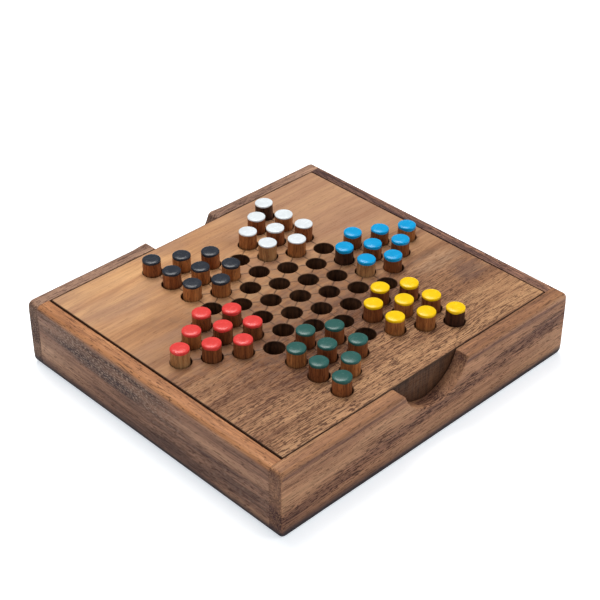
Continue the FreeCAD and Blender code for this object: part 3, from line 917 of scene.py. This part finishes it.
def playing_board(name, material):
    """The drilled board: the star's cells, the slab's rolled edges, sides and underside, and a flat
    fill between the star and the slab's top edge."""
    points, mask = star_cells()
    cells, ring_count, columns = points.shape[:3]
    per_cell = ring_count * columns
    quads = ring_faces(ring_count, columns)[:, [0, 3, 2, 1]]
    starts = np.arange(cells)[:, None] * per_cell
    cell_quads = (starts[..., None] + quads[None]).reshape(-1, 4)
    floors = starts + np.arange(columns)[None]

    outline = rounded_rectangle(BOARD_LOW[:2], BOARD_HIGH[:2], (SLAB_CORNER,) * 4)
    stations = rounded_ends(BOARD_LOW[2], BOARD_HIGH[2], *SLAB_ROUNDS, 4)
    slab = carried(*outline, stations, np.ones(len(outline[0])))
    slab_columns = slab.shape[1]
    slab_start = cells * per_cell
    slab_quads = slab_start + ring_faces(len(stations), slab_columns)
    underside = slab_start + np.arange(slab_columns)[::-1]

    everything = np.concatenate([points.reshape(-1, 3), slab.reshape(-1, 3)])
    # Painted shade on the slab's sides, fading out just under its top edge.
    darkening = np.interp(slab[..., 2], [BOARD_HIGH[2] - 0.5, BOARD_HIGH[2] - 0.05], [SIDE_SHADE, 0.0])
    burn_and_shade = np.concatenate([mask.ravel(), darkening.ravel()])
    faces = cell_quads.tolist() + floors.tolist() + slab_quads.tolist() + [underside.tolist()]
    piece = new_piece(name, everything, faces, [material], masks={"burn_and_shade": burn_and_shade})

    shape = bmesh.new()
    shape.from_mesh(piece.data)
    bmesh.ops.remove_doubles(shape, verts=shape.verts, dist=1e-6)
    rims = [edge for edge in shape.edges if edge.is_boundary]
    filled = bmesh.ops.triangle_fill(shape, edges=rims, use_beauty=True, normal=(0, 0, 1))
    upside_down = [f for f in filled["geom"] if isinstance(f, bmesh.types.BMFace) and f.normal.z < 0]
    bmesh.ops.reverse_faces(shape, faces=upside_down)
    for face in shape.faces:
        face.smooth = True
    shape.to_mesh(piece.data)
    shape.free()
    return piece


# ---------- the pegs

PEG_COLUMNS = 40
COAT_THICKNESS = 0.05
SANDED = 0.12
CROWN = 0.55
LEAN, MOST_LEAN = 0.011, 0.02
SHIFT, MOST_SHIFT = 0.16, 0.28
COAT_DEPTHS = {"blue": 1.5, "white": 0.85, "black": 1.3, "red": 1.5, "green": 1.3, "yellow": 1.3}

# The tone of each peg's wood, in the order of its colour's nodes: pale, honey, brown or dark.
PEG_TONES = {
    "blue": "pdbbbbbh",
    "white": "hpbbhhbd",
    "black": "hhbhhhbb",
    "red": "bbbbbhbp",
    "green": "bbhbbbhb",
    "yellow": "bbhhbhbd",
}
TONE_LETTERS = {"p": "pale", "h": "honey", "b": "brown", "d": "dark"}


def peg_rings(coat_depth):
    """Rings of one peg about its own axis, and the ring where its coat begins.

    The profile is a chamfered foot, a straight dowel, the coat's thin lip, and a domed top: a quarter of
    a curve whose radius is the square root of the cosine, and whose height is the sine, of one angle.
    The lip's height is a sum of slow waves round the peg, and the dome is a little lower on one side,
    where the paint has run.
    """
    rise = CROWN * coat_depth
    length = PEG_LENGTH - 0.1 - 0.3 * RNG.random()
    coat = length - coat_depth * (1 + 0.25 * RNG.random())
    bend = np.radians(np.linspace(0, 86, 13))[1:]
    side = PEG_RADIUS - SANDED
    out = side + COAT_THICKNESS - 0.02
    radius = [side - 0.9, side - 0.45, side - 0.06, side, side, side]
    height = [0, 0, 0.35, 0.6, coat * 0.5, coat - 0.04]
    first_coat_ring = len(radius) - 1
    radius += [side + COAT_THICKNESS / 2, out, *(out * np.sqrt(np.cos(bend)))]
    height += [coat, coat + 0.1, *(length - rise * (1 - np.sin(bend)))]

    turn = np.linspace(0, 2 * math.pi, PEG_COLUMNS, endpoint=False)
    waves = np.arange(1, 6)
    sizes = RNG.normal(size=len(waves)) * 0.10 * coat_depth / waves**0.5
    phases = RNG.uniform(0, 2 * math.pi, len(waves))
    lip = (sizes[:, None] * np.sin(waves[:, None] * turn + phases[:, None])).sum(0)
    run = 0.05 * (np.sin(turn + RNG.uniform(0, 2 * math.pi)) - 1)
    radius, height = np.array(radius)[:, None], np.array(height)[:, None]
    near_lip = np.exp(-(((height - coat) / 0.45) ** 2)) * (height < length - rise)
    on_dome = np.clip((height - length + rise) / rise, 0, 1) * radius / out
    z = height + lip * near_lip + run * on_dome
    return np.stack([radius * np.cos(turn), radius * np.sin(turn), z], -1), first_coat_ring


def set_in_hole(rings, spot):
    """A peg leaned and shifted a little inside its hole's play, and stood on the hole's floor."""
    lean = RNG.normal(0, LEAN, 2).clip(-MOST_LEAN, MOST_LEAN)
    shift = RNG.normal(0, SHIFT, 2).clip(-MOST_SHIFT, MOST_SHIFT)
    x, y, z = np.moveaxis(rings, -1, 0)
    leaned = np.stack([x + z * lean[0], y + z * lean[1], z - x * lean[0] - y * lean[1]], -1)
    leaned[..., 2] += HOLE_FLOOR + 0.02 - leaned[..., 2].min()
    leaned[..., :2] += spot + shift
    return leaned


def peg(name, node, wood, coat, coat_depth):
    """One peg, of bare dowel with an enamelled top."""
    rings, first_coat_ring = peg_rings(coat_depth)
    placed = set_in_hole(rings, PEG_SPOTS[node])
    count = len(placed)
    faces = ring_faces(count, PEG_COLUMNS).tolist()
    coated = np.repeat(np.arange(count - 1) >= first_coat_ring, PEG_COLUMNS)
    faces.append(list(range(PEG_COLUMNS))[::-1])
    faces.append(list(range((count - 1) * PEG_COLUMNS, count * PEG_COLUMNS)))
    indices = np.append(coated, [False, True]).astype(np.int32)
    return new_piece(name, placed.reshape(-1, 3), faces, [wood, coat], indices)


# ---------- making the object

def stand_for(piece, node, body):
    """The piece is seen in place of a node and rides on its body."""
    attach(piece, body)
    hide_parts(node)


frame_woods = {
    "front_wall": front_wood(), "back_wall": back_wood(),
    "left_wall": left_wood(), "right_wall": right_wood(),
}
base_wood = inner_wood("base_wood", "x", (0, 0, 300), ((190, 148, 108), (164, 122, 86), (126, 88, 62)))
LEDGE_COLOURS = ((176, 132, 96), (148, 106, 78), (104, 72, 54))
ledge_woods = {
    grain: inner_wood("ledge_wood_" + grain, grain, (0, 90, 30), LEDGE_COLOURS) for grain in ("x", "y")
}
board_material = board_wood()
dowels = {tone: dowel_wood(tone, colours) for tone, colours in DOWEL_TONES.items()}
enamels = {colour: enamel(colour, chart) for colour, chart in ENAMEL_COLOURS.items()}

for node, turned in (("front_wall", False), ("back_wall", True)):
    shaped = notched_wall("notched_" + node, frame_woods[node], turned)
    stand_for(shaped, node, "tray")
for node, side in (("left_wall", -1), ("right_wall", 1)):
    stand_for(end_wall("rolled_" + node, node, frame_woods[node], side), node, "tray")
for node, grain in (("front_ledge", "x"), ("back_ledge", "x"), ("left_ledge", "y"), ("right_ledge", "y")):
    stand_for(flat_bar("eased_" + node, node, ledge_woods[grain]), node, "tray")
stand_for(flat_bar("bottom_panel", "base_panel", base_wood, 0.4), "base_panel", "tray")
stand_for(playing_board("drilled_board", board_material), "playing_board", "board")
for colour in COLOURS:
    for n in range(1, PEGS_PER_COLOUR + 1):
        node = f"peg_{colour}_{n}"
        dowel = dowels[TONE_LETTERS[PEG_TONES[colour][n - 1]]]
        piece = peg(f"{colour}_peg_{n}", node, dowel, enamels[colour], COAT_DEPTHS[colour])
        stand_for(piece, node, node)


# ---------- floor, light and camera

def backdrop():
    """A plain pale sheet under the box that sweeps up far behind every side: a bowl whose height grows
    with the square of the distance past its flat middle."""
    rings, columns = 24, 96
    radius = np.concatenate([[0.05], np.linspace(0.5, 4.0, rings - 1)])[:, None]
    turn = np.linspace(0, 2 * math.pi, columns, endpoint=False)
    height = 0.12 * np.clip(radius - 1.6, 0, None) ** 2 * np.ones(columns)
    points = np.stack([radius * np.cos(turn), radius * np.sin(turn), height], -1).reshape(-1, 3)
    faces = ring_faces(rings, columns)[:, [0, 3, 2, 1]].tolist() + [list(range(columns))]
    material, tree, shader = new_material("pale_floor")
    place = add(tree, "TexCoord").outputs["Object"]
    mottle = remap(tree, noise(tree, place, (3.0, 3.0, 3.0)), 0.3, 0.7)
    shade = blend(tree, mottle, (0.88, 0.88, 0.885), (0.90, 0.90, 0.90))
    link_or_set(tree, shader.inputs["Base Color"], shade)
    shader.inputs["Roughness"].default_value = 0.9
    seen = add(tree, "LightPath").outputs["Is Camera Ray"]
    shader.inputs["Emission Color"].default_value = (0.90, 0.95, 1.0, 1.0)
    distance = length_of(tree, place)
    glow = remap(tree, distance, 0.4, 1.4, 0.58, 1.1)
    link_or_set(tree, shader.inputs["Emission Strength"], remap(tree, seen, 0.0, 1.0, 0.05, glow))
    return new_piece("pale_floor", points / MM, faces, [material])


def soft_light(name, place, size, power, tint):
    """A square area light at a place, facing the box, in metres and watts."""
    data = bpy.data.lights.new(name, "AREA")
    data.energy, data.color, data.size = power, tint, size
    light = bpy.data.objects.new(name, data)
    light.location = place
    light.rotation_euler = (-Vector(place)).to_track_quat("-Z", "Y").to_euler()
    bpy.context.scene.collection.objects.link(light)


backdrop()
for softbox in (
    ("overhead_softbox", (0.25, 0.50, 1.35), 0.8, 18.0, (1.0, 0.985, 0.96)),
    ("right_softbox", (0.9, -1.1, 0.8), 1.0, 8.2, (1.0, 1.0, 1.0)),
    ("left_softbox", (-1.3, -0.3, 0.8), 1.0, 4.2, (1.0, 1.0, 1.0)),
):
    soft_light(*softbox)

world = bpy.data.worlds.new("white_studio")
world.use_nodes = True
sky = next(node for node in world.node_tree.nodes if node.type == "BACKGROUND")
sky.inputs["Color"].default_value = (0.93, 0.97, 1.0, 1.0)
seen = add(world.node_tree, "LightPath").outputs["Is Camera Ray"]
link_or_set(world.node_tree, sky.inputs["Strength"], remap(world.node_tree, seen, 0.0, 1.0, 0.22, 1.2))
bpy.context.scene.world = world
bpy.context.scene.view_settings.view_transform = "Standard"

CAMERA_AZIMUTH = math.radians(-44.19)
CAMERA_ELEVATION = math.radians(34.93)
CAMERA_DISTANCE = 0.68663
CAMERA_TARGET = Vector((-0.00181, -0.00291, 0.03423))
back = Vector((
    math.sin(CAMERA_AZIMUTH) * math.cos(CAMERA_ELEVATION),
    -math.cos(CAMERA_AZIMUTH) * math.cos(CAMERA_ELEVATION),
    math.sin(CAMERA_ELEVATION),
))
lens = bpy.data.cameras.new("main_camera")
lens.lens = 91.41
lens.sensor_width = 36.0
lens.clip_start, lens.clip_end = 0.01, 20.0
camera = bpy.data.objects.new("camera", lens)
camera.location = CAMERA_TARGET + back * CAMERA_DISTANCE
camera.rotation_euler = (-back).to_track_quat("-Z", "Y").to_euler()
bpy.context.scene.collection.objects.link(camera)
bpy.context.scene.camera = camera
